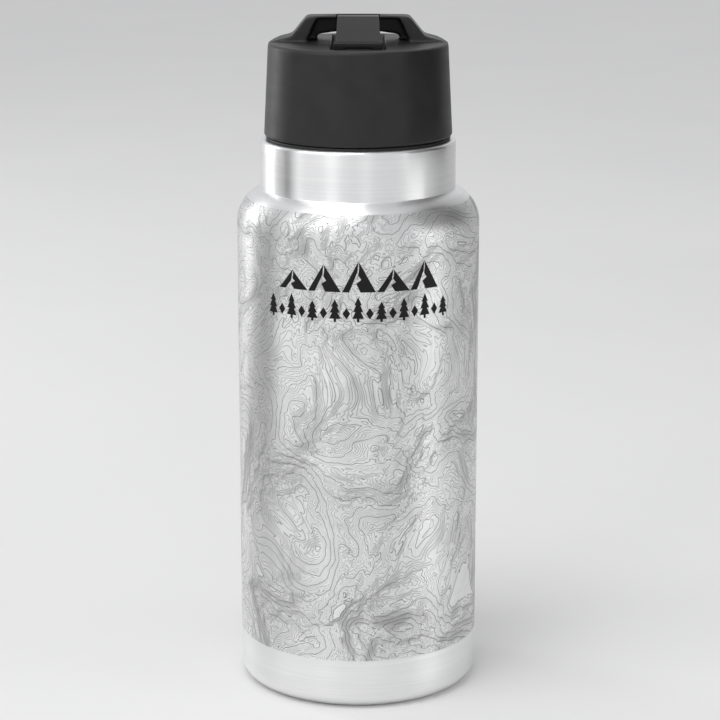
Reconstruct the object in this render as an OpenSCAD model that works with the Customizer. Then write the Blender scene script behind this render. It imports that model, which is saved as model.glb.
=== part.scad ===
// Vacuum-insulated steel bottle with a screw lid, a carry handle and a flip-up straw spout.
// The origin is the centre of the base, on the surface that the bottle stands on.
// +Z is up and the spout's lip points towards -Y.

/* [Bottle] */
// Outer diameter of the body
body_d = 90; // [88:0.5:94]
// Outer diameter of the neck
neck_d = 72.1; // [71.5:0.1:73]
// Height of the neck's lip above the base
lip_z = 207.3; // [190:0.1:240]
// Height at which the straight body turns into the shoulder, below the lip
shoulder_drop = 30.7; // [28:0.1:33]
// Radius of the shoulder
shoulder_r = 13.15; // [12:0.05:14]
// Radius of the corner round the base
base_corner_r = 5.8; // [4:0.1:7]
// Thickness of the outer steel wall
outer_wall = 0.8; // [0.6:0.1:1]
// Thickness of the inner steel wall
inner_wall = 0.6; // [0.5:0.1:0.7]
// Vacuum gap between the two walls of the body
vacuum_gap = 3.2; // [2.5:0.1:4]

/* [Lid] */
// Outer diameter of the lid at its lower edge
lid_d = 69.4; // [69:0.1:70.4]
// Outer diameter of the lid at its rim
rim_d = 66; // [65:0.1:67]
// Height of the lid from its lower edge to its rim
lid_h = 33.9; // [32:0.1:38]
// Gap between the neck's lip and the lid's lower edge
lid_gap = 1.2; // [1.2:0.1:2.2]
// Pitch of the lid's thread
pitch = 4; // [4:0.1:4.5]
// Turns that each thread runs round
thread_turns = 1.5; // [1:0.1:1.5]

/* [Handle] */
// Width of the handle's flat top
handle_w = 37.4; // [35:0.1:39]
// Height of the handle above the rim
handle_h = 9.8; // [9.6:0.1:11]
// Width of the handle's window at its top
window_w = 30.4; // [29:0.1:31]
// Height of the gap under the middle of the handle's bar
bar_gap = 2.9; // [2.4:0.1:4]

/* [Spout] */
// Width of the spout at its lip
spout_w = 17.6; // [16.8:0.1:17.8]
// Width of the spout at its hinge
spout_rear_w = 15.2; // [14.8:0.1:15.6]
// Distance from the hinge to the spout's lip
spout_l = 23; // [21:0.1:24]
// Diameter of the drinking passage
passage_d = 4.4; // [4:0.1:4.5]
// Angle that the spout stands at, 0 when it is shut
spout_angle = 0; // [0:5:90]

/* [Straw] */
// Outer diameter of the straw
straw_d = 8; // [7.6:0.1:8.2]
// Wall of the straw
straw_wall = 0.8; // [0.6:0.1:1]
// Height of the straw's lower end above the base
straw_z = 13; // [12:0.5:20]

/* [Hidden] */

$fn = 96;
ARC_STEPS = 8;
CUT = 1; // how far a cutting shape runs past the face that it cuts

steel = [0.80, 0.81, 0.82];
dark_steel = [0.55, 0.56, 0.58];
black_plastic = [0.10, 0.10, 0.10];
grey_plastic = [0.30, 0.31, 0.32];
foam_white = [0.93, 0.92, 0.88];
black_rubber = [0.06, 0.06, 0.07];
clear_rubber = [0.80, 0.84, 0.86];
clear_plastic = [0.72, 0.80, 0.84];

// Bottle
body_r = body_d / 2;
neck_r = neck_d / 2;
shoulder_z = lip_z - shoulder_drop;
shoulder_x = body_r - shoulder_r;
lip_round = 1.2;
lip_t = 0.8;
lip_joint_r = neck_r - 2.05; // where the outer shell and the inner vessel are welded together
base_seam_z = 10;
recess_r = 34.4;
recess_z = 2.6;
recess_slope = 1.8;
dimple_r = 5;
dimple_h = 1.8;
evacuation_r = 1.2;
base_plate_t = 0.8;

inner_r = body_r - outer_wall - vacuum_gap; // outside of the inner vessel
mouth_r = neck_r - 4.05; // bore of the neck
neck_wall = inner_wall + 0.1;
inner_shoulder_x = inner_r - 10;
inner_shoulder_z = shoulder_z - 2.6;
inner_shoulder_r = inner_r - inner_shoulder_x;
inner_floor_z = 9.6;
inner_corner_r = 8;
inner_seam_z = inner_floor_z + inner_corner_r + 0.4;
getter_r = 6;
getter_t = 1.4;
getter_x = 18;

// Thread: the neck's ridge and the plug's ridge are single helices that wind the same way
neck_thread_top = lip_z - 2.1;
neck_thread_z = neck_thread_top - pitch * thread_turns;
plug_thread_z = neck_thread_z + 0.3; // on the far side of the neck, so the ridges lie between each other
ridge_w = 1.2;
ridge_slope = 0.5;
neck_ridge_r = mouth_r - 1.3;
plug_r = mouth_r - 1.8;
plug_ridge_r = mouth_r - 0.3;
thread_run_in = 20; // angle over which a ridge rises at each end
THREAD_STEPS = 36; // rings in one turn

// Lid
lid_r = lid_d / 2;
rim_r = rim_d / 2;
lid_z = lip_z + lid_gap;
rim_z = lid_z + lid_h;
rim_round = 1.1;
lid_edge_round = 0.8;
deck_t = 2.4;
skirt_t = 2.4;
socket_h = 3.5; // the skirt's straight inner band that holds the plug's flange
plug_flange_t = 2;
plug_wall = 2;
plug_depth = 19.7; // how far the plug reaches below the lip
plug_floor_z = lip_z - plug_depth;
gasket_clearance = 0.1;

// Hinge axis of the spout, along X through y = 0
hub_z = rim_z + 1.6;
hub_r = 6.5;
hub_half_w = 5.4;
ear_r = 6;
ear_t = 1.8;
ear_x = hub_half_w + 0.2;
ear_foot_y = 3.8;
pin_r = 1.25;
pin_end_x = 3.4;
running_gap = 0.05;

// Well that the spout lies in. It runs on under the handle's bar as a finger trough with a sloping end.
well_half_w = 9.7;
well_front_y = -spout_l - 1;
trough_end_y = 22.5;
trough_slope_l = 4;
well_floor_z = rim_z - 5.6;
well_wall = 2;
cradle_z = well_floor_z - 2;
cradle_half_w = ear_x + ear_t + 0.9;
cradle_front_y = -7.5;
cradle_rear_y = 7.3;

// Path of the drink: straw, adapter, plug tube, port seal, spout
port_r = 2.6;
port_seal_r = 4.9;
port_seal_z = cradle_z - 2;
boss_r = 7.5;
boss_z = port_seal_z - 2;
tube_r = 5.8;
groove_r = 4.2;
groove_w = 2;
groove_h = 1.5;
oring_r = 0.72;
adapter_z = plug_floor_z - 8;
adapter_top_z = plug_floor_z + 10;
adapter_r = 5;
adapter_flange_r = 7.4;
adapter_flange_t = 1.4;
socket_r = straw_d / 2 + running_gap;
straw_top_z = adapter_top_z - 1.6;
vent_y = -15;
vent_r = 1.2;
vent_tube_r = 3;

// Handle: a shallow visor whose rear edge turns down into the bar that the fingers hold
handle_front_y = 1;
handle_rear_y = 14.5;
bar_front_y = 9.5;
visor_t = 1.3;
notch_rear_y = 6.6;
notch_half_w = spout_rear_w / 2 + 0.25;

// Spout, given from its hinge axis
spout_lip_z = 0.5;
spout_low_z = -6.7;
spout_crest_y = -1;
spout_crest_z = 7.9;
spout_rear_y = 3.2;
spout_lip_y = 1 - spout_l; // rear end of the lip, where the spout narrows to its ramp
spout_neck_w = spout_rear_w + 1; // width of the ramp just behind the lip
shell_t = 1.6;
tip_bore_z = -3.8;
bore_slope = atan(-tip_bore_z / spout_l);
mouth_w = 11;
mouth_h = 4.7;
mouth_t = shell_t;

// ---- Outlines ----

function arc(centre, r, from, to, steps = ARC_STEPS) =
    [for (i = [0:steps]) let (a = from + (to - from) * i / steps) centre + r * [cos(a), sin(a)]];

function unit(v) = v / norm(v);

// Arc of radius r that rounds the corner b between the edges to a and c.
function corner(a, b, c, r, steps) =
    let (
        u = unit(a - b), v = unit(c - b), half = acos(u * v) / 2,
        centre = b + unit(u + v) * r / sin(half),
        start = b + u * r / tan(half) - centre, stop = b + v * r / tan(half) - centre,
        from = atan2(start.y, start.x), turn = atan2(stop.y, stop.x) - from,
        sweep = turn > 180 ? turn - 360 : turn < -180 ? turn + 360 : turn
    ) arc(centre, r, from, from + sweep, steps);

// Outline through [x, y, r] points, each rounded to its own r, or sharp where r is 0.
function rounded(points, steps = 4) =
    let (n = len(points), at = [for (p = points) [p.x, p.y]])
    [for (i = [0:n - 1]) each points[i].z > 0
        ? corner(at[(i + n - 1) % n], at[i], at[(i + 1) % n], points[i].z, steps) : [at[i]]];

// Radius of the tapered skirt at height z.
function skirt_r(z) = lid_r + (rim_r - lid_r) * (z - lid_z) / lid_h;

// ---- Helpers ----

// Extrudes an outline drawn in X and Z from y0 to y1.
module along_y(y0, y1) translate([0, y1, 0]) rotate([90, 0, 0]) linear_extrude(y1 - y0) children();

// Extrudes an outline drawn in Y and Z from x0 to x1.
module along_x(x0, x1) translate([x0, 0, 0]) rotate([90, 0, 90]) linear_extrude(x1 - x0) children();

module tube(outer, inner, z0, z1) translate([0, 0, z0]) difference() {
    cylinder(r = outer, h = z1 - z0);
    translate([0, 0, -CUT]) cylinder(r = inner, h = z1 - z0 + 2 * CUT);
}

// Both of a mirrored pair, from the one on the +X side.
module pair() {
    children();
    mirror([1, 0, 0]) children();
}

// Everything that turns with the spout, drawn from the hinge axis.
module on_hinge() translate([0, 0, hub_z]) rotate([-spout_angle, 0, 0]) children();

// One helical ridge from radius root_r to crest_r, winding up from z0. It rises out of the root at each end.
module ridge(root_r, crest_r, z0) {
    steps = THREAD_STEPS * thread_turns;
    side = sign(crest_r - root_r);
    rings = [for (i = [0:steps]) let (
            angle = 360 * thread_turns * i / steps,
            rise = min(1, angle / thread_run_in, (360 * thread_turns - angle) / thread_run_in),
            crest = root_r + (crest_r - root_r) * max(rise, 0.1),
            z = z0 + pitch * angle / 360,
            foot = ridge_w / 2 + ridge_slope
        ) each [for (p = [[root_r, -foot], [crest, -ridge_w / 2], [crest, ridge_w / 2], [root_r, foot]])
            [p[0] * cos(angle), p[0] * sin(angle), z + side * p[1]]]];
    sides = [for (i = [0:steps - 1], k = [0:3]) let (a = 4 * i + k, b = 4 * i + (k + 1) % 4) each
        [[a, b, b + 4], [a, b + 4, a + 4]]];
    last = 4 * steps;
    ends = [[2, 1, 0], [3, 2, 0], [last, last + 1, last + 2], [last, last + 2, last + 3]];
    polyhedron(rings, concat(sides, ends));
}

// ---- Bottle ----

// Drawn steel wall: body, shoulder, neck and the outer half of the lip.
module outer_shell() {
    inner_arc_r = shoulder_r - outer_wall;
    neck_angle = acos((neck_r - shoulder_x) / shoulder_r);
    inner_angle = acos((neck_r - outer_wall - shoulder_x) / inner_arc_r);
    color(steel) rotate_extrude() polygon(concat(
        [[body_r, base_seam_z]],
        arc([shoulder_x, shoulder_z], shoulder_r, 0, neck_angle),
        arc([neck_r - lip_round, lip_z - lip_round], lip_round, 0, 90, 5),
        [[lip_joint_r, lip_z], [lip_joint_r, lip_z - lip_t], [neck_r - lip_round - 0.4, lip_z - lip_t]],
        [[neck_r - outer_wall, lip_z - lip_t - 0.6]],
        arc([shoulder_x, shoulder_z], inner_arc_r, inner_angle, 0),
        [[body_r - outer_wall, base_seam_z]]
    ));
}

// Pressed steel bottom, welded to the outer shell, with a standing ring, a recess and an evacuation hole.
module outer_base() {
    ring_r = body_r - base_corner_r;
    foot_r = recess_r + recess_slope;
    color(steel) rotate_extrude() polygon(concat(
        [[evacuation_r, recess_z + dimple_h], [dimple_r, recess_z + dimple_h], [dimple_r + 0.6, recess_z]],
        [[recess_r, recess_z], [foot_r, 0]],
        arc([ring_r, base_corner_r], base_corner_r, -90, 0),
        [[body_r, base_seam_z], [body_r - outer_wall, base_seam_z]],
        arc([ring_r, base_corner_r], base_corner_r - outer_wall, 0, -90),
        [[foot_r + 0.4, outer_wall], [recess_r + 0.4, recess_z + outer_wall]],
        [[dimple_r + 1.1, recess_z + outer_wall], [dimple_r + 0.5, recess_z + dimple_h + outer_wall]],
        [[evacuation_r, recess_z + dimple_h + outer_wall]]
    ));
}

// Thin cover disc in the recess of the base.
module base_plate() {
    edge = 0.3;
    color(dark_steel) rotate_extrude() polygon([
        [0, recess_z - base_plate_t], [recess_r - 0.4 - edge, recess_z - base_plate_t],
        [recess_r - 0.4, recess_z - base_plate_t + edge], [recess_r - 0.4, recess_z], [0, recess_z]
    ]);
}

// Glass bead that closes the evacuation hole, in the dimple above the cover disc.
module vacuum_seal() color(grey_plastic) {
    top_z = recess_z + dimple_h;
    translate([0, 0, top_z - 1]) cylinder(r = dimple_r - 0.8, h = 1);
    translate([0, 0, top_z - 0.5]) cylinder(r = evacuation_r - 0.05, h = 1.6);
}

// Gas-absorbing pellet in the vacuum, under the inner bottom.
module getter() color(dark_steel)
    translate([getter_x, 0, inner_floor_z - getter_t]) cylinder(r = getter_r, h = getter_t);

// Inner steel wall that holds the drink, with the rolled thread and the inner half of the lip.
module inner_vessel() {
    bore_r = mouth_r;
    outside_r = mouth_r + neck_wall;
    inside_arc_r = inner_shoulder_r - inner_wall;
    outside_angle = acos((outside_r - inner_shoulder_x) / inner_shoulder_r);
    inside_angle = acos((bore_r - inner_shoulder_x) / inside_arc_r);
    color(dark_steel) union() {
        rotate_extrude() polygon(concat(
            [[inner_r, inner_seam_z]],
            arc([inner_shoulder_x, inner_shoulder_z], inner_shoulder_r, 0, outside_angle),
            [[outside_r, lip_z - lip_t - 0.8], [outside_r + 0.5, lip_z - lip_t]],
            [[lip_joint_r, lip_z - lip_t], [lip_joint_r, lip_z]],
            arc([bore_r + 1, lip_z - 1], 1, 90, 180, 4),
            arc([inner_shoulder_x, inner_shoulder_z], inside_arc_r, inside_angle, 0),
            [[inner_r - inner_wall, inner_seam_z]]
        ));
        ridge(mouth_r + neck_wall / 2, neck_ridge_r, neck_thread_z);
    }
}

// Dished steel bottom, welded to the inner vessel.
module inner_bottom() {
    corner_x = inner_r - inner_corner_r;
    corner_z = inner_floor_z + inner_corner_r;
    color(dark_steel) rotate_extrude() polygon(concat(
        [[0, inner_floor_z]],
        arc([corner_x, corner_z], inner_corner_r, -90, 0),
        [[inner_r, inner_seam_z], [inner_r - inner_wall, inner_seam_z]],
        arc([corner_x, corner_z], inner_corner_r - inner_wall, 0, -90),
        [[0, inner_floor_z + inner_wall]]
    ));
}

// ---- Straw and gasket ----

// Straw with two notches in its lower end, so that it can't seal itself against the floor.
module straw() {
    notch_w = 4;
    notch_h = 3;
    color(clear_plastic) difference() {
        tube(straw_d / 2, straw_d / 2 - straw_wall, straw_z, straw_top_z);
        along_y(-straw_d, straw_d) polygon([
            [-notch_w / 2, straw_z - CUT], [notch_w / 2, straw_z - CUT], [notch_w / 2, straw_z],
            [0, straw_z + notch_h], [-notch_w / 2, straw_z]
        ]);
    }
}

// Ring that seals the lid on the neck's lip.
module lid_gasket() {
    low = lip_z + gasket_clearance;
    high = lid_z - 2 * gasket_clearance;
    inside = plug_r + 0.3;
    outside = lid_r - 0.7;
    color(black_rubber) rotate_extrude() polygon(rounded(
        [[inside, low, 0.2], [outside, low, 0.4], [outside, high, 0.4], [inside, high, 0.2]]
    ));
}

// ---- Lid ----

// Solid outline of the lid's cover, without its hollows.
module cover_body() rotate_extrude() polygon(concat(
    [[0, lid_z]],
    corner([0, lid_z], [lid_r, lid_z], [rim_r, rim_z], lid_edge_round, 4),
    corner([lid_r, lid_z], [rim_r, rim_z], [0, rim_z], rim_round, 6),
    [[0, rim_z]]
));

module cover_cavity() {
    top_z = rim_z - deck_t;
    step_z = lid_z + socket_h;
    rotate_extrude() polygon([
        [0, lid_z - CUT], [lid_r - skirt_t, lid_z - CUT], [lid_r - skirt_t, step_z],
        [skirt_r(step_z) - skirt_t - 0.4, step_z + 0.4], [skirt_r(top_z) - skirt_t, top_z], [0, top_z]
    ]);
}

// The spout's well and the trough behind it, with the pocket for the hinge cradle, all grown by extra.
module well_shape(extra) {
    front = well_front_y - extra;
    low = well_floor_z - extra;
    high = rim_z + CUT;
    along_x(-well_half_w - extra, well_half_w + extra) polygon([
        [front, low], [trough_end_y + extra / 2, low], [trough_end_y + trough_slope_l + extra, rim_z],
        [trough_end_y + trough_slope_l + extra, high], [front, high]
    ]);
    grow = extra + 0.1;
    translate([-cradle_half_w - grow, cradle_front_y - grow, cradle_z - extra])
        cube([2 * (cradle_half_w + grow), cradle_rear_y - cradle_front_y + 2 * grow, rim_z - cradle_z]);
}

// Front outline of the handle: a crowned top, steep legs, and feet that flare out to the edge of the lid.
module handle_front() {
    half_w = handle_w / 2;
    top = rim_z + handle_h;
    foot = rim_z - 0.75;
    right = [
        [rim_r + 2, foot, 0], [rim_r + 2, rim_z - 0.65, 0], [half_w + 5.7, rim_z + 2.1, 3],
        [half_w + 0.1, top - 0.7, 3], [half_w - 4.7, top - 0.42, 0], [half_w - 11.7, top - 0.1, 0]
    ];
    left = [for (i = [len(right) - 1:-1:0]) [-right[i].x, right[i].y, right[i].z]];
    polygon(rounded(concat(right, left), 6));
}

// Side outline of the handle: crowned on top, with a rounded rear edge.
module handle_side() {
    top = rim_z + handle_h;
    foot = rim_z - 2;
    polygon(rounded([
        [handle_front_y - 1.2, foot, 0], [handle_front_y, top - 0.35, 0.4], [handle_front_y + 5, top, 0],
        [handle_rear_y - 1.4, top - 0.9, 2.2], [handle_rear_y, top - 3.2, 2],
        [handle_rear_y, rim_z + bar_gap, 0], [handle_rear_y + 1.2, foot, 0]
    ], 5));
}

// Window between the legs, in front of the bar.
module front_window() {
    lean = 0.45; // how far each side spreads for each millimetre down
    visor_z = rim_z + handle_h - visor_t;
    half_top = window_w / 2;
    half_low = half_top + lean * (visor_z - rim_z + 1);
    polygon(rounded([
        [-half_low, rim_z - 1, 0], [half_low, rim_z - 1, 0],
        [half_top, visor_z, 1.4], [-half_top, visor_z, 1.4]
    ]));
}

// Low arched opening under the bar.
module bar_opening() {
    half = window_w / 2;
    crown = spout_rear_w / 2;
    high = rim_z + bar_gap;
    low = rim_z - 1.2;
    polygon(rounded([
        [-half, low, 0], [half, low, 0], [half, high - 1.1, 1.2], [crown, high, 12],
        [-crown, high, 12], [-half, high - 1.1, 1.2]
    ], 6));
}

module handle() difference() {
    low = rim_z - 3;
    high = rim_z + handle_h + CUT;
    intersection() {
        along_y(handle_front_y - 3, handle_rear_y + 3) handle_front();
        along_x(-rim_r - 1, rim_r + 1) handle_side();
        translate([0, 0, low]) cylinder(r1 = skirt_r(low), r2 = skirt_r(high), h = high - low);
    }
    along_y(handle_front_y - 4, bar_front_y) front_window();
    along_y(bar_front_y - CUT, handle_rear_y + 4) bar_opening();
    translate([-notch_half_w, handle_front_y - 4, rim_z + 5])
        cube([2 * notch_half_w, notch_rear_y - handle_front_y + 4, handle_h]);
}

// Moulded cover: skirt, deck, spout well, finger trough and handle in one piece.
module lid_cover() color(black_plastic) difference() {
    union() {
        difference() {
            cover_body();
            cover_cavity();
        }
        intersection() {
            cover_body();
            union() {
                well_shape(well_wall);
                translate([0, 0, boss_z]) cylinder(r = boss_r, h = cradle_z - boss_z);
            }
        }
        handle();
    }
    well_shape(0);
    translate([0, 0, port_seal_z]) cylinder(r = port_seal_r + 0.1, h = CUT + cradle_z - port_seal_z);
    translate([0, 0, boss_z - CUT]) cylinder(r = port_r, h = 2 * CUT + port_seal_z - boss_z);
    translate([0, vent_y, well_floor_z - well_wall - CUT]) cylinder(r = vent_r, h = well_wall + 2 * CUT);
}

// Threaded plug: cup, flange and thread, with the drink tube and the vent tube standing on its floor.
module lid_plug() {
    flange_z = lid_z - gasket_clearance;
    flange_r = lid_r - skirt_t;
    bevel = 1.2;
    vent_top = well_floor_z - well_wall;
    color(grey_plastic) difference() {
        union() {
            rotate_extrude() polygon([
                [0, plug_floor_z], [plug_r - bevel, plug_floor_z], [plug_r, plug_floor_z + bevel],
                [plug_r, flange_z], [flange_r, flange_z], [flange_r, flange_z + plug_flange_t],
                [plug_r - plug_wall, flange_z + plug_flange_t],
                [plug_r - plug_wall, plug_floor_z + plug_wall], [0, plug_floor_z + plug_wall]
            ]);
            translate([0, 0, plug_floor_z + CUT]) cylinder(r = tube_r, h = boss_z - plug_floor_z - CUT);
            translate([0, vent_y, plug_floor_z + CUT])
                cylinder(r = vent_tube_r, h = vent_top - plug_floor_z - CUT);
            rotate([0, 0, 180]) ridge(plug_r - 0.4, plug_ridge_r, plug_thread_z);
        }
        translate([0, 0, plug_floor_z - CUT])
            cylinder(r = adapter_r, h = adapter_top_z - plug_floor_z + CUT);
        translate([0, 0, plug_floor_z]) cylinder(r = port_r, h = boss_z - plug_floor_z + CUT);
        translate([0, vent_y, plug_floor_z - CUT])
            cylinder(r = vent_r + 0.4, h = vent_top - plug_floor_z + 2 * CUT);
        tube(groove_r + groove_w / 2, groove_r - groove_w / 2, boss_z - groove_h, boss_z + CUT);
    }
}

// Foam ring that fills the plug and the cover above it.
module lid_insulation() {
    low = plug_floor_z + plug_wall + 0.3;
    flange_top = lid_z - gasket_clearance + plug_flange_t;
    high = boss_z - 3;
    narrow = plug_r - plug_wall - 0.3;
    wide = rim_r - skirt_t - 1;
    color(foam_white) difference() {
        rotate_extrude() polygon([
            [tube_r + 0.4, low], [narrow, low], [narrow, flange_top + 0.3],
            [wide, flange_top + 1.5], [wide, high], [tube_r + 0.4, high]
        ]);
        translate([0, vent_y, low - CUT]) cylinder(r = vent_tube_r + 0.3, h = high - low + 2 * CUT);
    }
}

// O-ring between the plug's tube and the cover's boss.
module channel_seal() color(black_rubber)
    translate([0, 0, boss_z - oring_r - 0.03]) rotate_extrude()
        translate([groove_r, 0]) circle(r = oring_r, $fn = 32);

// Soft one-way valve that lets air in as the bottle is drunk from.
module vent_valve() {
    stem_r = vent_r + 0.3;
    color(clear_rubber) translate([0, vent_y, 0]) difference() {
        rotate_extrude() polygon([
            [0, plug_floor_z - 5], [1.3, plug_floor_z - 5], [2, plug_floor_z - 1.4],
            [4, plug_floor_z - 1.2], [4, plug_floor_z], [stem_r, plug_floor_z],
            [stem_r, plug_floor_z + 3], [0, plug_floor_z + 3]
        ]);
        translate([0, 0, plug_floor_z - 4]) cylinder(r = 0.6, h = 8);
        translate([-0.15, -1.2, plug_floor_z - 6]) cube([0.3, 2.4, 3]);
    }
}

// Socket that the straw pushes into, pressed into the plug's tube from below.
module straw_adapter() color(grey_plastic) difference() {
    union() {
        translate([0, 0, adapter_z]) cylinder(r = adapter_r, h = adapter_top_z - adapter_z);
        translate([0, 0, plug_floor_z - adapter_flange_t])
            cylinder(r = adapter_flange_r, h = adapter_flange_t);
    }
    translate([0, 0, adapter_z - CUT]) cylinder(r = socket_r, h = straw_top_z + 0.3 - adapter_z + CUT);
    translate([0, 0, adapter_z]) cylinder(r = port_r, h = adapter_top_z - adapter_z + CUT);
    translate([0, 0, adapter_z - CUT])
        cylinder(r1 = socket_r + 0.6 + CUT, r2 = socket_r - 0.05, h = 0.65 + CUT);
}

// ---- Spout ----

// Seat and two ears that carry the spout, snapped into the well as one piece.
module hinge_cradle() {
    rest_top = hub_z - 4;
    color(black_plastic) difference() {
        union() {
            translate([-cradle_half_w, cradle_front_y, cradle_z])
                cube([2 * cradle_half_w, cradle_rear_y - cradle_front_y, well_floor_z - cradle_z]);
            difference() {
                translate([-cradle_half_w, CUT, cradle_z + CUT])
                    cube([2 * cradle_half_w, cradle_rear_y - CUT, rest_top - cradle_z - CUT]);
                translate([0, 0, hub_z])
                    along_x(-cradle_half_w - CUT, cradle_half_w + CUT) circle(r = hub_r + 0.3);
            }
            pair() {
                translate([0, 0, hub_z]) along_x(ear_x, ear_x + ear_t) circle(r = ear_r);
                translate([ear_x, -ear_foot_y, cradle_z + CUT])
                    cube([ear_t, 2 * ear_foot_y, hub_z - cradle_z - CUT]);
            }
        }
        translate([0, 0, cradle_z - CUT]) cylinder(r = port_seal_r + 0.1, h = 6);
        translate([0, 0, hub_z]) along_x(-ear_x - ear_t - CUT, ear_x + ear_t + CUT) circle(r = pin_r);
    }
}

module hinge_pin() translate([0, 0, hub_z]) color(steel)
    along_x(pin_end_x, ear_x + ear_t) circle(r = pin_r);

module hinge_pin_right() hinge_pin();

module hinge_pin_left() mirror([1, 0, 0]) hinge_pin();

// Soft seat under the hub. It closes the port while the spout is shut.
module port_seal() color(black_rubber) difference() {
    translate([0, 0, port_seal_z]) cylinder(r = port_seal_r, h = hub_z - hub_r - port_seal_z + 0.7);
    translate([0, 0, port_seal_z - CUT]) cylinder(r = passage_d / 2, h = 12);
    translate([0, 0, hub_z]) along_x(-hub_r, hub_r) circle(r = hub_r + 0.15);
}

// Side outline of the spout, from the hinge axis, without the hub.
module spout_side() polygon(rounded([
    [-spout_l, spout_low_z, 1], [-spout_l, spout_lip_z, 0.9], [-spout_l + 2, spout_lip_z + 0.75, 0],
    [spout_crest_y, spout_crest_z, 0.6], [spout_rear_y, spout_crest_z + 0.15, 0.6], [3.45, 5.5, 0],
    [0, 0, 0], [-5.6, spout_low_z, 0]
]));

// Plan outline of the spout: a slightly tapered ramp with a wider lip.
module spout_plan() {
    narrow_y = spout_lip_y + 1.2;
    polygon([
        [-spout_w / 2, -spout_l - CUT], [spout_w / 2, -spout_l - CUT], [spout_w / 2, spout_lip_y],
        [spout_neck_w / 2, narrow_y], [spout_rear_w / 2, 0], [spout_rear_w / 2, hub_r],
        [-spout_rear_w / 2, hub_r], [-spout_rear_w / 2, 0], [-spout_neck_w / 2, narrow_y],
        [-spout_w / 2, spout_lip_y]
    ]);
}

module spout_solid() {
    intersection() {
        along_x(-spout_w, spout_w) spout_side();
        translate([0, 0, spout_low_z - CUT])
            linear_extrude(spout_crest_z - spout_low_z + 3 * CUT) spout_plan();
    }
    along_x(-hub_half_w, hub_half_w) circle(r = hub_r);
}

// Room for the ears on both sides of the hub.
module ear_pockets() pair() along_x(hub_half_w, spout_w) circle(r = ear_r + 0.5);

// Layer of the spout's outline that the shell takes up: its lip, its ramp and its rear edge.
module shell_layer() along_x(-spout_w, spout_w) polygon([
    [-spout_l - CUT, spout_low_z + 2.2], [-spout_l + shell_t, spout_low_z + 2.2],
    [-spout_l + shell_t, spout_lip_z - 0.6],
    [spout_crest_y - 0.5, spout_crest_z - shell_t], [spout_rear_y + CUT, spout_crest_z - shell_t],
    [spout_rear_y + CUT, spout_crest_z + 2 * CUT], [-spout_l - CUT, spout_crest_z + 2 * CUT]
]);

// Oval seat of the mouthpiece, cut l deep into the tip.
module mouth_recess(l) translate([0, 0, tip_bore_z]) along_y(-spout_l - CUT, -spout_l + l)
    polygon(rounded([
        [-mouth_w / 2, -mouth_h / 2, 2], [mouth_w / 2, -mouth_h / 2, 2], [mouth_w / 2, mouth_h / 2, 2],
        [-mouth_w / 2, mouth_h / 2, 2]
    ]));

// Runs a round bore of radius r from the tip to a distance of l behind it, along the sloping passage.
module tip_bore(r, l) translate([0, -spout_l, tip_bore_z]) rotate([-90 + bore_slope, 0, 0])
    translate([0, 0, -CUT]) cylinder(r = r, h = l + CUT);

module passage() {
    tip_bore(passage_d / 2, norm([spout_l, tip_bore_z]) + 0.8);
    along_y(-0.8, hub_r + CUT) circle(r = passage_d / 2 + 0.1);
}

// Smooth outer shell of the spout: ramp and lip.
module spout_shell() on_hinge() color(black_plastic) difference() {
    intersection() {
        spout_solid();
        shell_layer();
    }
    ear_pockets();
    mouth_recess(mouth_t + 0.5);
}

// Body of the spout: hub, bearing holes and drinking passage.
module spout_core() on_hinge() color(black_plastic) difference() {
    spout_solid();
    shell_layer();
    ear_pockets();
    mouth_recess(mouth_t);
    passage();
    pair() along_x(pin_end_x - 0.3, hub_half_w + CUT) circle(r = pin_r + running_gap);
}

// Soft mouthpiece: an oval pad round the end of the passage.
module mouthpiece() on_hinge() color(black_rubber) difference() {
    intersection() {
        mouth_recess(mouth_t);
        along_y(-spout_l, 0) square([spout_w, 30], center = true);
    }
    tip_bore(passage_d / 2, spout_l);
}

outer_shell();
outer_base();
base_plate();
vacuum_seal();
getter();
inner_vessel();
inner_bottom();
straw();
lid_gasket();
lid_cover();
lid_plug();
lid_insulation();
channel_seal();
vent_valve();
straw_adapter();
hinge_cradle();
hinge_pin_left();
hinge_pin_right();
port_seal();
spout_shell();
spout_core();
mouthpiece();
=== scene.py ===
import math

import bmesh
import bpy
import numpy as np
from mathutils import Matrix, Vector


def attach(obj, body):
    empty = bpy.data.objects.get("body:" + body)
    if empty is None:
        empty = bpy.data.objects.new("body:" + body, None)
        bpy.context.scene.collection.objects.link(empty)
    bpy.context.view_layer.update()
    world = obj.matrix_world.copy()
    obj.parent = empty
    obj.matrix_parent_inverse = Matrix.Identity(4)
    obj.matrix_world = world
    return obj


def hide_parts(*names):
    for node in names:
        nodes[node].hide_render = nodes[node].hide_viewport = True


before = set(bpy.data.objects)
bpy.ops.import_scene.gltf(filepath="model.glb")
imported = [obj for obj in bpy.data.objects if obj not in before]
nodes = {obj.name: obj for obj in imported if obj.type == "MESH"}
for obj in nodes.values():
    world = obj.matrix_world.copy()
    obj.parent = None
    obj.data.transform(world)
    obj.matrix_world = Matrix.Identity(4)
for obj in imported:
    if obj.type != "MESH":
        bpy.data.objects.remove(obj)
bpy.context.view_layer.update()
MM = 0.001

# Outlines of the bottle, in mm, as in the CAD
BODY_R, NECK_R = 45.0, 36.05
SHOULDER_R, SHOULDER_X, SHOULDER_Z = 13.15, 31.85, 176.6
BASE_CORNER_R, BASE_SEAM_Z = 5.8, 10.0
STEEL_T = 0.8
LIP_Z = 207.3
LID_R, RIM_R, LID_Z, RIM_Z = 34.7, 33.0, 208.5, 242.4

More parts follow.
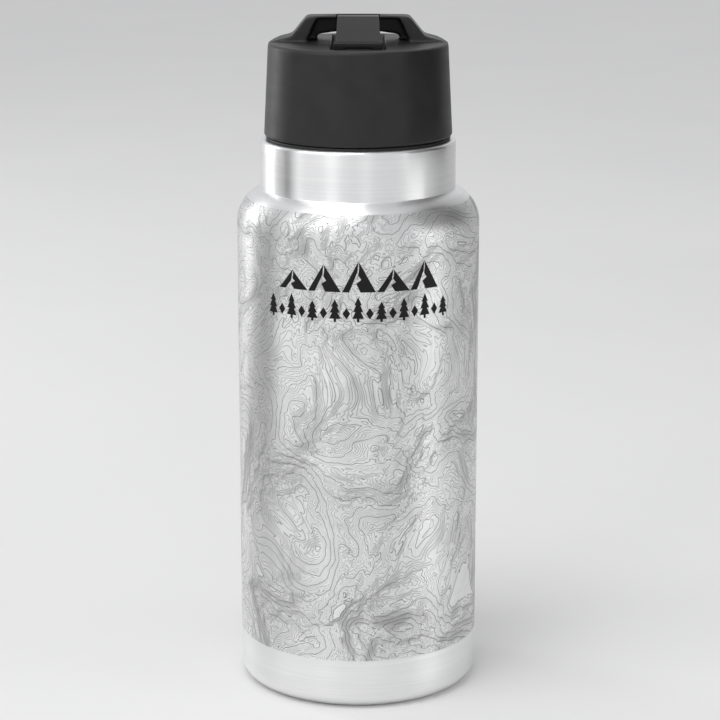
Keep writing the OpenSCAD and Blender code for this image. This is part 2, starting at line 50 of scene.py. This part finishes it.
# Print on the body, in mm, with INTERVAL and LAKE in the terrain's own heights from 0 to 1
PRINT_LOW, PRINT_HIGH = 19.1, 185.8
PEAK_FOOT, PINE_FOOT, DIAMOND_Z = 158.6, 147.7, 150.8
LINE_W = 0.09  # the solid part of a contour line, in mm
INTERVAL = 0.0070  # from one contour line to the next
LAKE = 0.362  # water level

AIM_Z = 0.12  # height in metres that the lights are aimed at


# ---- Shader helpers ----

class Shader:
    """A material being built: add() makes a node, and its positional inputs are sockets or values."""

    def __init__(self, name):
        self.material = bpy.data.materials.new(name)
        self.material.use_nodes = True
        self.tree = self.material.node_tree
        self.bsdf = self.tree.nodes["Principled BSDF"]

    def link(self, value, socket):
        if isinstance(value, bpy.types.NodeSocket):
            self.tree.links.new(value, socket)
        elif value is not None:
            socket.default_value = value

    def add(self, kind, *inputs, out=0, **settings):
        """Settings with a capital letter are inputs, by name. The others are the node's own properties."""
        node = self.tree.nodes.new("ShaderNode" + kind)
        for key in [k for k in settings if not k[0].isupper()]:
            setattr(node, key, settings.pop(key))
        for value, socket in zip(inputs, node.inputs):
            self.link(value, socket)
        for key, value in settings.items():
            self.link(value, next(i for i in node.inputs if i.name == key))
        return node.outputs[out]

    def math(self, operation, a, b=0.0):
        return self.add("Math", a, b, operation=operation)

    def vector(self, operation, a, b=(0, 0, 0), scale=1.0):
        return self.add("VectorMath", a, b, Scale=scale, operation=operation)

    def place(self, stretch=(1, 1, 1)):
        """Object coordinates in mm, each times its stretch."""
        here = self.add("TexCoord", out="Object")
        return self.vector("MULTIPLY", here, tuple(1000 * s for s in stretch))

    def noise(self, at, size, detail, roughness, distortion=0.0, out=0):
        """Noise whose features are about size mm across."""
        return self.add("TexNoise", Vector=at, Scale=1.0 / size, Detail=detail, Roughness=roughness,
                        Distortion=distortion, out=out)

    def between(self, value, low, high, to_low=0.0, to_high=1.0, smooth=True):
        """A value that runs from to_low to to_high as the input runs from low to high."""
        return self.add("MapRange", value, low, high, to_low, to_high,
                        interpolation_type="SMOOTHSTEP" if smooth else "LINEAR")

    def mix(self, share, a, b):
        node = self.tree.nodes.new("ShaderNodeMix")
        node.data_type = "RGBA"
        self.link(share, node.inputs[0])
        self.link(a, node.inputs[6])
        self.link(b, node.inputs[7])
        return node.outputs[2]

    def bump(self, height, strength, distance):
        """Normal of a relief that is distance mm deep."""
        return self.add("Bump", Strength=strength, Distance=distance * MM, Height=height)

    def brushed(self, amount):
        """Gloss stretched up and down, as brushing round the axis leaves it."""
        tangent = self.add("Tangent", direction_type="RADIAL", axis="Z")
        self.set(Anisotropic=amount, Anisotropic_Rotation=0.25, Tangent=tangent)

    def set(self, **sockets):
        """Sets inputs of the surface, and gives the material back."""
        for key, value in sockets.items():
            self.link(value, self.bsdf.inputs[key.replace("_", " ")])
        return self.material


def grey(v, tint=(1, 1, 1)):
    return (v * tint[0], v * tint[1], v * tint[2], 1)


def plastic(name, tone, roughness, tint=(1, 1, 1), relief=0.035, specular=0.5):
    """Moulded plastic: fine spark-eroded grain, faint flow marks and patches of slightly different gloss."""
    s = Shader(name)
    at = s.place()
    fine = s.noise(at, 0.35, 2.0, 0.6)
    broad = s.noise(at, 11, 3.0, 0.55)
    flow = s.noise(s.place((0.06, 0.06, 0.5)), 1.4, 2.0, 0.5)
    wear = s.add("NewGeometry", out="Pointiness")
    edge = s.between(wear, 0.56, 0.64)
    base = s.mix(s.between(broad, 0.3, 0.7), grey(tone * 0.88, tint), grey(tone * 1.14, tint))
    base = s.mix(s.math("MULTIPLY", edge, 0.35), base, grey(tone * 1.9 + 0.012, tint))
    rough = s.math("ADD", s.between(broad, 0.25, 0.75, roughness - 0.03, roughness + 0.04),
                   s.between(flow, 0.3, 0.7, -0.02, 0.02))
    rough = s.math("ADD", rough, s.between(fine, 0.35, 0.65, -0.03, 0.03))
    return s.set(Base_Color=base, Roughness=rough, Specular_IOR_Level=specular,
                 Normal=s.bump(fine, 0.35, relief))


def steel(name, tone, roughness, streak=(0.02, 0.02, 3.0)):
    """Turned or drawn steel, brushed round its axis."""
    s = Shader(name)
    lines = s.noise(s.place(streak), 1.0, 3.0, 0.6)
    broad = s.noise(s.place(), 18, 2.0, 0.5)
    base = s.mix(s.between(lines, 0.25, 0.75), grey(tone * 0.93, (0.99, 1, 1.01)), grey(tone * 1.05))
    rough = s.math("ADD", s.between(lines, 0.25, 0.75, roughness - 0.05, roughness + 0.06),
                   s.between(broad, 0.3, 0.7, -0.02, 0.03))
    s.brushed(0.6)
    return s.set(Base_Color=base, Roughness=rough, Metallic=1.0, Normal=s.bump(lines, 0.12, 0.02))


def clear(name, tint, transmission, roughness):
    """Milky see-through plastic or silicone, with faint cloudy patches and drawing marks."""
    s = Shader(name)
    cloud = s.noise(s.place((1, 1, 0.3)), 9, 2.0, 0.5)
    drawn = s.noise(s.place((2.0, 2.0, 0.03)), 0.8, 2.0, 0.5)
    base = s.mix(cloud, grey(0.80, tint), grey(0.86, tint))
    return s.set(Base_Color=base, Roughness=s.between(cloud, 0.3, 0.7, roughness - 0.05, roughness + 0.08),
                 Transmission_Weight=s.between(cloud, 0.2, 0.8, transmission, transmission - 0.1),
                 IOR=1.46, Normal=s.bump(drawn, 0.08, 0.01))


def foam(name):
    """Closed-cell foam with fine bubbles in its skin."""
    s = Shader(name)
    cells = s.add("TexVoronoi", Vector=s.place(), Scale=1.6, Randomness=1.0)
    broad = s.noise(s.place(), 9, 3.0, 0.6)
    base = s.mix(broad, grey(0.80, (1, 0.985, 0.94)), grey(0.88, (1, 0.99, 0.96)))
    rough = s.between(cells, 0.1, 0.6, 0.7, 0.88)
    return s.set(Base_Color=base, Roughness=rough, Normal=s.bump(cells, 0.5, 0.12))


def grains(name, tone, size, metallic, roughness):
    """Pressed or fused grains: a sintered pellet, or a bead of solder glass."""
    s = Shader(name)
    cells = s.add("TexVoronoi", Vector=s.place(), Scale=1.0 / size, Randomness=1.0)
    broad = s.noise(s.place(), size * 8, 3.0, 0.6)
    base = s.mix(broad, grey(tone * 0.8), grey(tone * 1.2))
    rough = s.between(cells, 0.1, 0.7, roughness - 0.08, roughness + 0.08)
    return s.set(Base_Color=base, Roughness=rough, Metallic=metallic, Normal=s.bump(cells, 0.4, size / 6))


def rubber(name, tone, roughness):
    """Moulded rubber with a fine grain and a little dust."""
    s = Shader(name)
    at = s.place()
    fine = s.noise(at, 0.25, 2.0, 0.6)
    dust = s.noise(at, 3.5, 4.0, 0.65)
    base = s.mix(s.between(dust, 0.45, 0.75), grey(tone), grey(tone * 1.5 + 0.006))
    rough = s.between(dust, 0.3, 0.7, roughness - 0.06, roughness + 0.08)
    return s.set(Base_Color=base, Roughness=rough, Normal=s.bump(fine, 0.3, 0.03))


# ---- Body print ----

def terrain(s, at):
    """Height of an invented mountain country at a point given in mm, from 0 to 1."""
    warp = s.vector("SUBTRACT", s.noise(at, 46, 1.0, 0.45, out=1), (0.5, 0.5, 0.5))
    bent = s.vector("ADD", at, s.vector("SCALE", warp, scale=64.0))
    return s.noise(bent, 38, 5.0, 0.43)


def printed_steel():
    """Brushed steel with an all-over contour map of an invented country, printed in thin grey ink."""
    s = Shader("printed_steel")
    at = s.place()
    round_ = s.vector("NORMALIZE", s.vector("MULTIPLY", at, (1, 1, 0)))
    along = s.vector("CROSS_PRODUCT", (0, 0, 1), round_)
    normal = s.add("NewGeometry", out="True Normal")
    up = s.vector("CROSS_PRODUCT", normal, along)
    step = 0.3  # mm to the two points beside this one, for the slope
    here = terrain(s, at)
    aside = terrain(s, s.vector("ADD", at, s.vector("SCALE", along, scale=step)))
    above = terrain(s, s.vector("ADD", at, s.vector("SCALE", up, scale=step)))
    dx = s.math("DIVIDE", s.math("SUBTRACT", aside, here), step)
    dz = s.math("DIVIDE", s.math("SUBTRACT", above, here), step)
    slope = s.math("SQRT", s.math("ADD", s.math("MULTIPLY", dx, dx), s.math("MULTIPLY", dz, dz)))
    slope = s.math("MAXIMUM", slope, 0.0012)

    def contour(every, soft):
        """Lines at every so many intervals, equally wide on the steel wherever they run."""
        off = s.math("DIVIDE", s.math("PINGPONG", here, INTERVAL * every / 2), slope)
        return s.between(off, LINE_W / 2, LINE_W / 2 + soft, 1.0, 0.0)

    weight = s.between(slope, INTERVAL / 1.1, INTERVAL / 0.4, 0.60, 0.20)  # less where the lines crowd
    minor = s.math("MULTIPLY", contour(1, 0.16), weight)
    index = s.math("MULTIPLY", contour(7, 0.18), 0.80)
    height = s.add("SeparateXYZ", at, out=2)
    shallow = s.between(height, PRINT_LOW, PRINT_LOW + 18, 0.09, 0.0)  # keeps lakes off the print's edge
    level = s.math("ADD", here, shallow)
    shore = s.math("DIVIDE", s.math("ABSOLUTE", s.math("SUBTRACT", level, LAKE)), slope)
    shore = s.between(shore, 0.06, 0.24, 0.85, 0.0)
    land = s.between(level, LAKE, LAKE + 0.0006)
    lines = s.math("MAXIMUM", s.math("MULTIPLY", s.math("MAXIMUM", minor, index), land), shore)

    # Hill shading and the woods' grey tint
    light = s.math("SUBTRACT", s.math("MULTIPLY", dz, 0.55), s.math("MULTIPLY", dx, 0.83))
    shade = s.between(light, -0.024, 0.008, 0.38, 0.0)
    woods = s.noise(s.vector("ADD", at, (33.0, -80.0, 51.0)), 24, 5.0, 0.62, 0.4)
    woods = s.between(woods, 0.44, 0.60, 0.0, 0.14)
    tint = s.math("ADD", s.math("ADD", shade, woods), 0.01)
    tint = s.math("MULTIPLY", tint, s.between(land, 0.0, 1.0, 0.2, 1.0))

    # Lines over tint, with the ink a little thin in places
    bare = s.math("MULTIPLY", s.math("SUBTRACT", 1.0, lines), s.math("SUBTRACT", 1.0, tint))
    thin = s.between(s.noise(at, 0.9, 3.0, 0.7), 0.2, 0.6, 0.84, 1.0)
    ink = s.math("MULTIPLY", s.math("SUBTRACT", 1.0, bare), thin)

    area = s.math("MULTIPLY", s.between(height, PRINT_LOW - 0.1, PRINT_LOW + 0.1),
                  s.between(height, PRINT_HIGH - 0.1, PRINT_HIGH + 0.1, 1.0, 0.0))
    ink = s.math("MULTIPLY", ink, area)

    # Brushing
    streaks = s.noise(s.place((0.015, 0.015, 1.0)), 0.7, 4.0, 0.65)
    bands = s.noise(s.place((0.01, 0.01, 1.0)), 9.0, 2.0, 0.5)
    metal = s.mix(s.between(streaks, 0.25, 0.75), grey(0.82, (0.995, 1, 1.005)), grey(0.89))
    metal = s.mix(s.between(bands, 0.35, 0.65, 0.0, 0.10), metal, grey(0.70))
    washed = s.mix(s.math("MULTIPLY", area, 0.30), metal, grey(0.84))
    base = s.mix(ink, washed, grey(0.085, (1.0, 0.99, 0.97)))
    rough = s.math("ADD", s.between(streaks, 0.25, 0.75, 0.31, 0.36), s.math("MULTIPLY", area, 0.04))
    rough = s.math("ADD", rough, s.math("MULTIPLY", ink, 0.16))
    s.brushed(0.7)
    metallic = s.between(ink, 0.0, 1.0, 1.0, 0.45, smooth=False)
    return s.set(Base_Color=base, Roughness=rough, Metallic=metallic, Normal=s.bump(streaks, 0.05, 0.02))


# ---- Mesh helpers ----

def in_scene(name, data):
    obj = bpy.data.objects.new(name, data)
    bpy.context.scene.collection.objects.link(obj)
    return obj


def to_mesh(name, bm):
    """A mesh of what was built in bm, which is freed."""
    mesh = bpy.data.meshes.new(name)
    bm.to_mesh(mesh)
    bm.free()
    return mesh


def shown(name, mesh, body, material, slot, *replaced, sharp):
    """Puts a mesh in the scene on its body. Edges of more than sharp degrees stay sharp."""
    obj = in_scene(name, mesh)
    mesh.materials.clear()
    mesh.materials.append(material)
    mesh.shade_smooth()
    mesh.set_sharp_from_angle(angle=math.radians(sharp))
    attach(obj, body)
    if replaced:
        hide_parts(*replaced)


def arc(cx, cz, r, start, stop, steps):
    """Points on an arc from start to stop degrees."""
    return [(cx + r * math.cos(math.radians(start + (stop - start) * i / steps)),
             cz + r * math.sin(math.radians(start + (stop - start) * i / steps))) for i in range(steps + 1)]


def fillet(a, b, c, r, steps):
    """Points that round the corner b between the lines to a and c."""
    a, b, c = Vector(a), Vector(b), Vector(c)
    u, v = (a - b).normalized(), (c - b).normalized()
    half = math.acos(max(-1, min(1, u.dot(v)))) / 2
    centre = b + (u + v).normalized() * (r / math.sin(half))
    start, stop = b + u * (r / math.tan(half)) - centre, b + v * (r / math.tan(half)) - centre
    turn = start.angle_signed(stop)
    return [tuple(centre + start * math.cos(k) + Vector((start.y, -start.x)) * math.sin(k))
            for k in (turn * i / steps for i in range(steps + 1))]


def spread(points, longest):
    """The same outline with no step longer than this, so that long walls have rings too."""
    made = []
    for (ax, az), (bx, bz) in zip(points, points[1:] + points[:1]):
        n = max(1, math.ceil(math.hypot(bx - ax, bz - az) / longest))
        made += [(ax + (bx - ax) * i / n, az + (bz - az) * i / n) for i in range(n)]
    return made


def lathe(name, outline, segments):
    """A closed outline in mm, turned round the Z axis."""
    bm = bmesh.new()
    rings = []
    for k in range(segments):
        a = 2 * math.pi * k / segments
        rings.append([bm.verts.new((r * math.cos(a) * MM, r * math.sin(a) * MM, z * MM)) for r, z in outline])
    count = len(outline)
    for k in range(segments):
        one, two = rings[k], rings[(k + 1) % segments]
        for i in range(count):
            j = (i + 1) % count
            bm.faces.new((one[i], one[j], two[j], two[i]))
    bmesh.ops.recalc_face_normals(bm, faces=bm.faces)
    return to_mesh(name, bm)


def moulded(name, node, body, material, voxel, rounds, settle=None):
    """The node's black solid in a mesh of voxel mm, with its edges worn round in so many rounds."""
    source = in_scene(name, nodes[node].data.copy())
    remesh = source.modifiers.new("remesh", "REMESH")
    remesh.mode, remesh.voxel_size = "VOXEL", voxel * MM
    mesh = bpy.data.meshes.new_from_object(source.evaluated_get(bpy.context.evaluated_depsgraph_get()))
    bpy.data.objects.remove(source)
    count = len(mesh.vertices)
    at = np.empty(count * 3)
    mesh.vertices.foreach_get("co", at)
    at = at.reshape(count, 3) * 1000
    ends = np.empty(len(mesh.edges) * 2, dtype=np.int32)
    mesh.edges.foreach_get("vertices", ends)
    a, b = ends.reshape(-1, 2).T
    degree = np.bincount(ends, minlength=count)[:, None]
    for _ in range(rounds):
        total = [np.bincount(a, at[b, k], count) + np.bincount(b, at[a, k], count) for k in range(3)]
        at += 0.5 * (np.stack(total, 1) / degree - at)
    if settle:
        settle(at)
    mesh.vertices.foreach_set("co", (at * MM).ravel())
    mesh.update()
    shown(name, mesh, body, material, "black_plastic", node, sharp=180)


def onto_skirt(at):
    """Brings points that are nearly on the lid's tapered side onto its exact cone, in place."""
    r = np.hypot(at[:, 0], at[:, 1])
    cone = LID_R + (RIM_R - LID_R) * (at[:, 2] - LID_Z) / (RIM_Z - LID_Z)
    straight = (at[:, 2] > LID_Z + 0.7) & (at[:, 2] < RIM_Z - 0.9)  # between the rounded edges
    near = straight & (np.abs(r - cone) < 0.14)
    at[near, :2] *= (cone / r)[near, None]


# ---- Bottle ----

def body_outline():
    """The steel's outside up to the lip, then back down its inside and round the recess in the base."""
    root = (NECK_R, SHOULDER_Z + math.sqrt(SHOULDER_R ** 2 - (NECK_R - SHOULDER_X) ** 2))
    neck_angle = math.degrees(math.acos((NECK_R - SHOULDER_X) / SHOULDER_R))
    shoulder = arc(SHOULDER_X, SHOULDER_Z, SHOULDER_R, 0, neck_angle - 3, 26)
    inside = SHOULDER_R - STEEL_T
    foot_x = BODY_R - BASE_CORNER_R
    outline = [(BODY_R, BASE_SEAM_Z)] + shoulder
    outline += fillet(shoulder[-1], root, (NECK_R, LIP_Z - 2), 0.55, 5)
    outline += arc(NECK_R - 1.2, LIP_Z - 1.2, 1.2, 0, 90, 8)
    outline += [(34.0, LIP_Z), (34.0, LIP_Z - STEEL_T), (NECK_R - 1.6, LIP_Z - STEEL_T)]
    outline += [(NECK_R - STEEL_T, LIP_Z - 1.4)]
    outline += arc(SHOULDER_X, SHOULDER_Z, inside, 74, 0, 12)
    outline += [(BODY_R - STEEL_T, BASE_SEAM_Z)]
    outline += arc(foot_x, BASE_CORNER_R, BASE_CORNER_R - STEEL_T, 0, -90, 8)
    outline += [(36.6, 0.8), (34.8, 3.4), (6.1, 3.4), (5.5, 5.2), (1.2, 5.2), (1.2, 4.4), (5.0, 4.4)]
    outline += [(5.6, 2.6), (34.4, 2.6)]
    outline += fillet((34.4, 2.6), (36.2, 0.0), (foot_x, 0.0), 0.6, 4)
    outline += arc(foot_x, BASE_CORNER_R, BASE_CORNER_R, -90, 0, 14)[:-1]
    return outline


shown("bottle_body", lathe("bottle_body", spread(body_outline(), 8.0), 256), "bottle", printed_steel(),
      "brushed_steel", "outer_shell", "outer_base", sharp=40)


# ---- Mark printed on the body ----

def peak(u, top, half):
    """A mountain: a stroke down its left side, and its right side in shadow with a ragged edge."""
    foot = PEAK_FOOT
    h = top - foot
    lean = half / h
    stroke = [(u - 0.05, top), (u - 0.8 * lean, top - 3.9), (u - half + 2.9, foot), (u - half + 0.3, foot)]
    shadow = [(u + 0.12, top - 0.35), (u + half - 0.1, foot), (u + 0.6, foot), (u - 0.9, foot + 0.28 * h),
              (u + 0.9, foot + 0.40 * h), (u - 0.2, foot + 0.56 * h), (u + 0.12, foot + 0.72 * h)]
    return [stroke, shadow]


def pine(u, h):
    right = [(0.0, h), (1.35, 0.68 * h), (0.8, 0.68 * h), (1.8, 0.41 * h), (1.0, 0.41 * h), (2.1, 0.14 * h),
             (0.45, 0.14 * h), (0.45, 0.0)]
    whole = right + [(-x, z) for x, z in reversed(right[1:])]
    return [[(u + x, PINE_FOOT + z) for x, z in whole]]


def diamond(u, r):
    z = DIAMOND_Z
    return [[(u - r, z), (u, z - 1.5 * r), (u + r, z), (u, z + 1.5 * r)]]


def wrapped(name, outlines, inside, outside):
    """Thin solid shapes on the body's front. Each outline is in mm: round the body from the front, and up."""
    bm = bmesh.new()
    for outline in outlines:
        bm.faces.new([bm.verts.new((u, 0.0, z)) for u, z in outline])
    for k in range(-24, 25):  # upright cuts, so that long faces can bend round the body
        bmesh.ops.bisect_plane(bm, geom=bm.verts[:] + bm.edges[:] + bm.faces[:], dist=1e-5,
                               plane_co=(1.5 * k + 0.2, 0, 0), plane_no=(1, 0, 0))
    bmesh.ops.triangulate(bm, faces=bm.faces)
    grown = bmesh.ops.extrude_face_region(bm, geom=bm.faces[:])
    top = {v for v in grown["geom"] if isinstance(v, bmesh.types.BMVert)}
    for v in bm.verts:
        r, a = (outside if v in top else inside), v.co.x / BODY_R
        v.co = (r * math.sin(a) * MM, -r * math.cos(a) * MM, v.co.z * MM)
    bmesh.ops.recalc_face_normals(bm, faces=bm.faces)
    return to_mesh(name, bm)


def black_ink():
    """Screen-printed ink, slightly worn."""
    s = Shader("black_ink")
    at = s.place()
    worn = s.noise(at, 1.1, 4.0, 0.7)
    fine = s.noise(s.place((0.3, 0.3, 2.0)), 0.4, 2.0, 0.6)
    base = s.mix(s.between(worn, 0.35, 0.75), grey(0.004), grey(0.009))
    rough = s.between(worn, 0.3, 0.7, 0.46, 0.60)
    return s.set(Base_Color=base, Roughness=rough, Specular_IOR_Level=0.22, Normal=s.bump(fine, 0.2, 0.01))


PEAKS = ((-24.6, 165.6, 6.1), (-12.4, 168.6, 6.3), (0.2, 169.9, 6.3), (12.8, 166.9, 6.3), (25.0, 169.1, 6.0))
marks = []
for u, top, half in PEAKS:
    marks += peak(u, top, half)
for k in range(-8, 9):
    marks += pine(4.2 * k, 9.2 - 0.9 * (k % 3)) if k % 2 == 0 else diamond(4.2 * k, 1.4)
ink_layer = wrapped("print_mark", marks, BODY_R - 0.03, BODY_R + 0.04)
shown("print_mark", ink_layer, "bottle", black_ink(), None, sharp=30)


# ---- Carried-over CAD nodes ----

def finish_node(name, material):
    for slot in nodes[name].material_slots:
        slot.material = material


lid_black = plastic("lid_black", 0.015, 0.42, specular=0.32)
spout_black = plastic("spout_black", 0.008, 0.30, relief=0.012, specular=0.22)
plug_grey = plastic("plug_grey", 0.10, 0.38, tint=(0.98, 1.0, 1.03))
inner_steel = steel("inner_steel", 0.62, 0.32)
pin_steel = steel("pin_steel", 0.70, 0.22, (3.0, 0.05, 3.0))
black_rubber = rubber("black_rubber", 0.012, 0.55)

moulded("lid_moulding", "lid_cover", "lid", lid_black, 0.42, 4, onto_skirt)
moulded("spout_ramp", "spout_shell", "spout", spout_black, 0.22, 6)
moulded("spout_body", "spout_core", "spout", spout_black, 0.22, 5)
finish_node("hinge_cradle", spout_black)
for name in ("lid_plug", "straw_adapter"):
    finish_node(name, plug_grey)
for name in ("base_plate", "inner_vessel", "inner_bottom"):
    finish_node(name, inner_steel)
for name in ("hinge_pin_left", "hinge_pin_right"):
    finish_node(name, pin_steel)
for name in ("lid_gasket", "channel_seal", "port_seal", "mouthpiece"):
    finish_node(name, black_rubber)
finish_node("straw", clear("straw_plastic", (0.97, 1.0, 1.02), 0.50, 0.36))
finish_node("vent_valve", clear("clear_silicone", (1.0, 1.0, 0.98), 0.45, 0.48))
finish_node("lid_insulation", foam("closed_cell_foam"))
finish_node("vacuum_seal", grains("solder_glass", 0.16, 0.3, 0.0, 0.22))
finish_node("getter", grains("getter_grains", 0.35, 0.18, 0.9, 0.6))


# ---- Studio ----

def floor():
    """Plain pale floor, far larger than the view."""
    bm = bmesh.new()
    bmesh.ops.create_circle(bm, cap_ends=True, segments=96, radius=9.0)
    mesh = to_mesh("floor", bm)
    obj = in_scene("floor", mesh)
    s = Shader("floor")
    tone = s.noise(s.place(), 160, 3.0, 0.5)
    base = s.mix(tone, grey(0.74), grey(0.78, (1, 0.995, 0.985)))
    mesh.materials.append(s.set(Base_Color=base, Roughness=0.75))


def softbox(name, azimuth, elevation, distance, width, height, power):
    """A soft light aimed at the object. Azimuth runs from the camera's side towards +X."""
    a, e = math.radians(azimuth), math.radians(elevation)
    data = bpy.data.lights.new(name, "AREA")
    data.shape = "RECTANGLE"
    data.size, data.size_y = width, height
    data.energy = power
    obj = in_scene(name, data)
    at = Vector((math.sin(a) * math.cos(e), -math.cos(a) * math.cos(e), math.sin(e))) * distance
    aim = Vector((0, 0, AIM_Z))
    obj.location = at + aim
    obj.rotation_euler = (aim - obj.location).to_track_quat("-Z", "Y").to_euler()
    obj.visible_camera = False


def flag(name, azimuth, distance, width, height, tone, low=0.002):
    """A dark card beside the object, from low to height, that draws a dark band in the steel or the lid."""
    a = math.radians(azimuth)
    side = Vector((math.cos(a), math.sin(a), 0)) * (width / 2)
    at = Vector((math.sin(a), -math.cos(a), 0)) * distance
    bm = bmesh.new()
    lower = [bm.verts.new(at + side * k + Vector((0, 0, low))) for k in (-1, 1)]
    upper = [bm.verts.new(at + side * k + Vector((0, 0, height))) for k in (1, -1)]
    bm.faces.new(lower + upper)
    mesh = to_mesh(name, bm)
    obj = in_scene(name, mesh)
    s = Shader(name)
    felt = s.noise(s.place(), 3, 2.0, 0.5)
    mesh.materials.append(s.set(Base_Color=s.mix(felt, grey(tone), grey(tone * 1.3)), Roughness=0.95))
    obj.visible_camera = False
    obj.visible_shadow = False


def studio():
    """Pale room, soft lights, and the cards that give the steel and the lid their darker bands."""
    world = bpy.data.worlds.new("studio")
    world.use_nodes = True
    background = world.node_tree.nodes["Background"]
    background.inputs[0].default_value = (0.96, 0.965, 0.98, 1)
    background.inputs[1].default_value = 0.74
    bpy.context.scene.world = world
    floor()
    softbox("key_high", -52, 46, 1.6, 1.4, 1.4, 8.7)
    softbox("strip_front_left", -30, 10, 1.5, 0.34, 1.2, 0.7)
    softbox("strip_left", -72, 10, 1.5, 0.16, 1.2, 0.5)
    softbox("strip_front", 9, 10, 1.5, 0.30, 1.2, 0.4)
    softbox("strip_right", 71, 10, 1.5, 0.60, 1.2, 3.8)
    softbox("rim_left", -124, 12, 1.5, 0.34, 1.1, 4.5)
    softbox("overhead", -25, 74, 1.3, 0.4, 0.4, 3.0)
    flag("flag_left", -89, 0.7, 0.12, 1.2, 0.10)
    flag("flag_low_left", -103, 0.32, 0.25, 0.12, 0.15)
    flag("flag_high_right", 84, 0.13, 0.15, 0.36, 0.005, low=0.193)
    flag("flag_right", 128, 0.8, 0.8, 1.3, 0.42)


def camera():
    """The camera that was fitted to the outlines, looking along +Y and down."""
    data = bpy.data.cameras.new("camera")
    data.lens, data.sensor_width = 119.5, 36.0
    obj = in_scene("camera", data)
    obj.location = (0.00066, -0.8757, 0.3400)
    obj.rotation_euler = (math.radians(90 - 13.935), 0, 0)
    bpy.context.scene.camera = obj


studio()
camera()
bpy.context.scene.view_settings.view_transform = "Standard"
bpy.context.view_layer.update()
